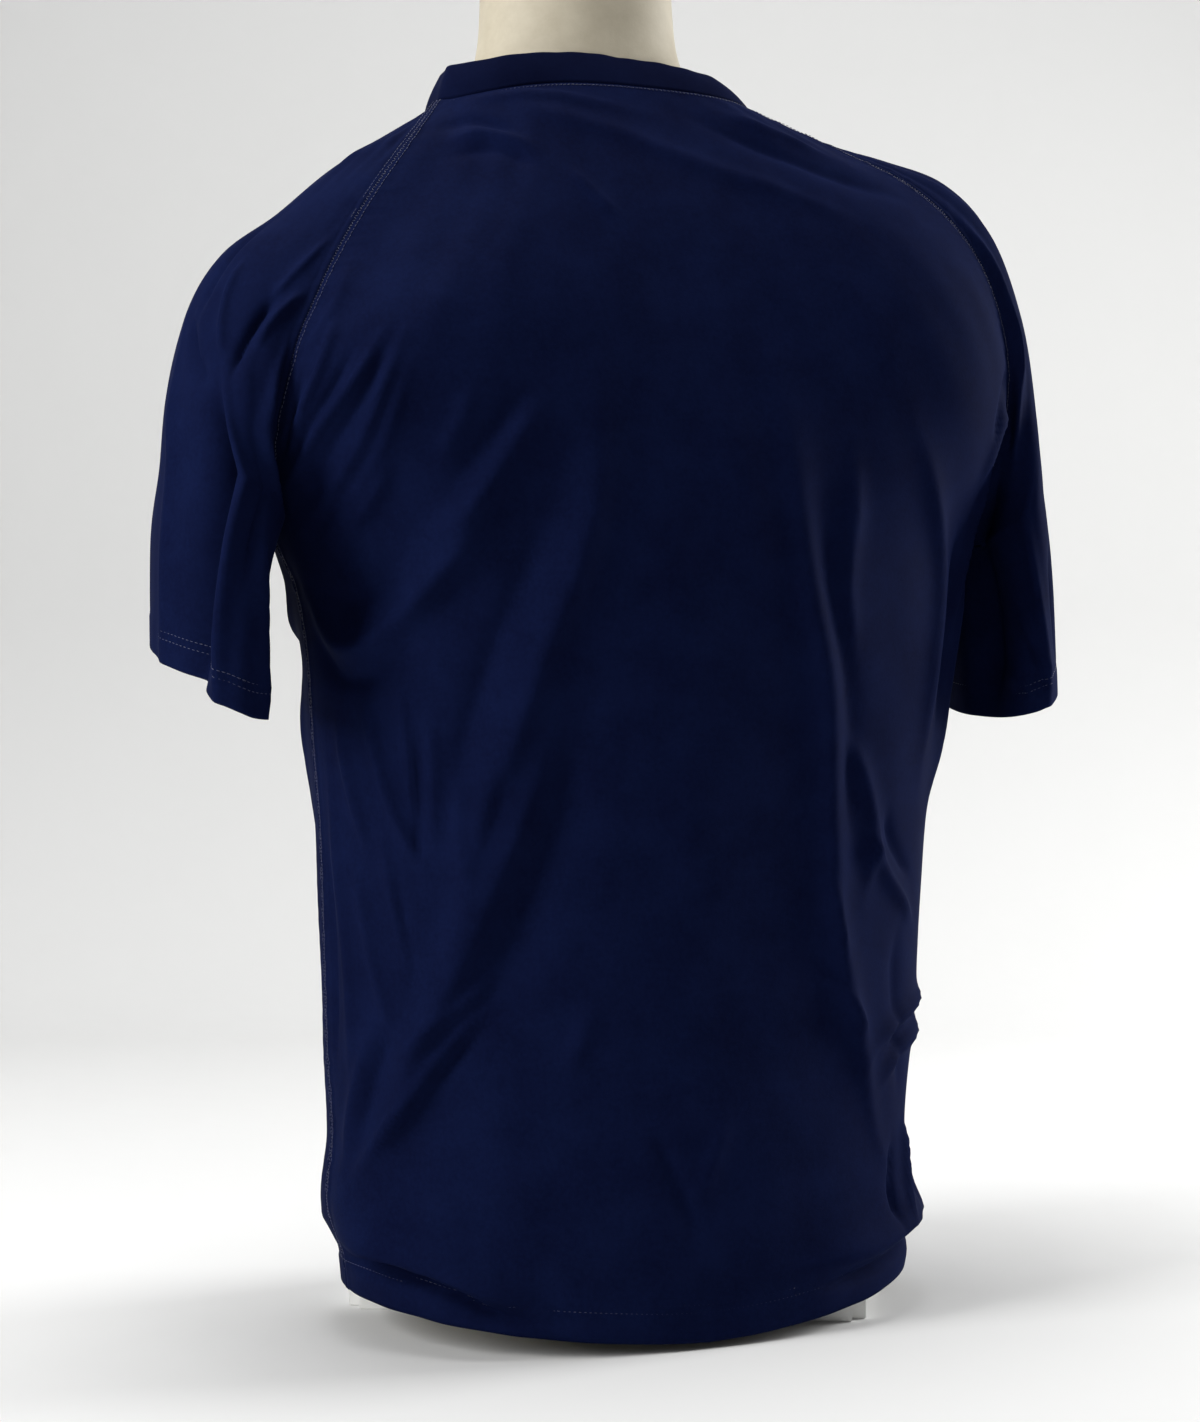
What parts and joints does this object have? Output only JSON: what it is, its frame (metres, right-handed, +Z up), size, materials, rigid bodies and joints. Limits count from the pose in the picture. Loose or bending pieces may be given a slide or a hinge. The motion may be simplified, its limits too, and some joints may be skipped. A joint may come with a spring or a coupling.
{
  "type": "short sleeve training shirt on a limbless torso form",
  "caption": "Crew neck raglan training shirt in thin knit, filled out by a smooth limbless torso form with a neck, standing on a low block.",
  "frame": {"origin": "on the underside of the base, under the middle of the shirt", "axes": "+Z up, -Y the way the chest faces, +X the wearer's left"},
  "size_m": [0.5837, 0.2637, 0.858],
  "materials": {
    "knit": "fine polyester jersey, slight sheen",
    "form": "matt cream, slightly mottled",
    "base": "satin white"
  },
  "bodies": {
    "root": {"back": "knit", "front": "knit", "sleeve_left": "knit", "sleeve_right": "knit", "collar": "knit", "form_body": "form", "form_base": "base"}
  },
  "joints": []
}
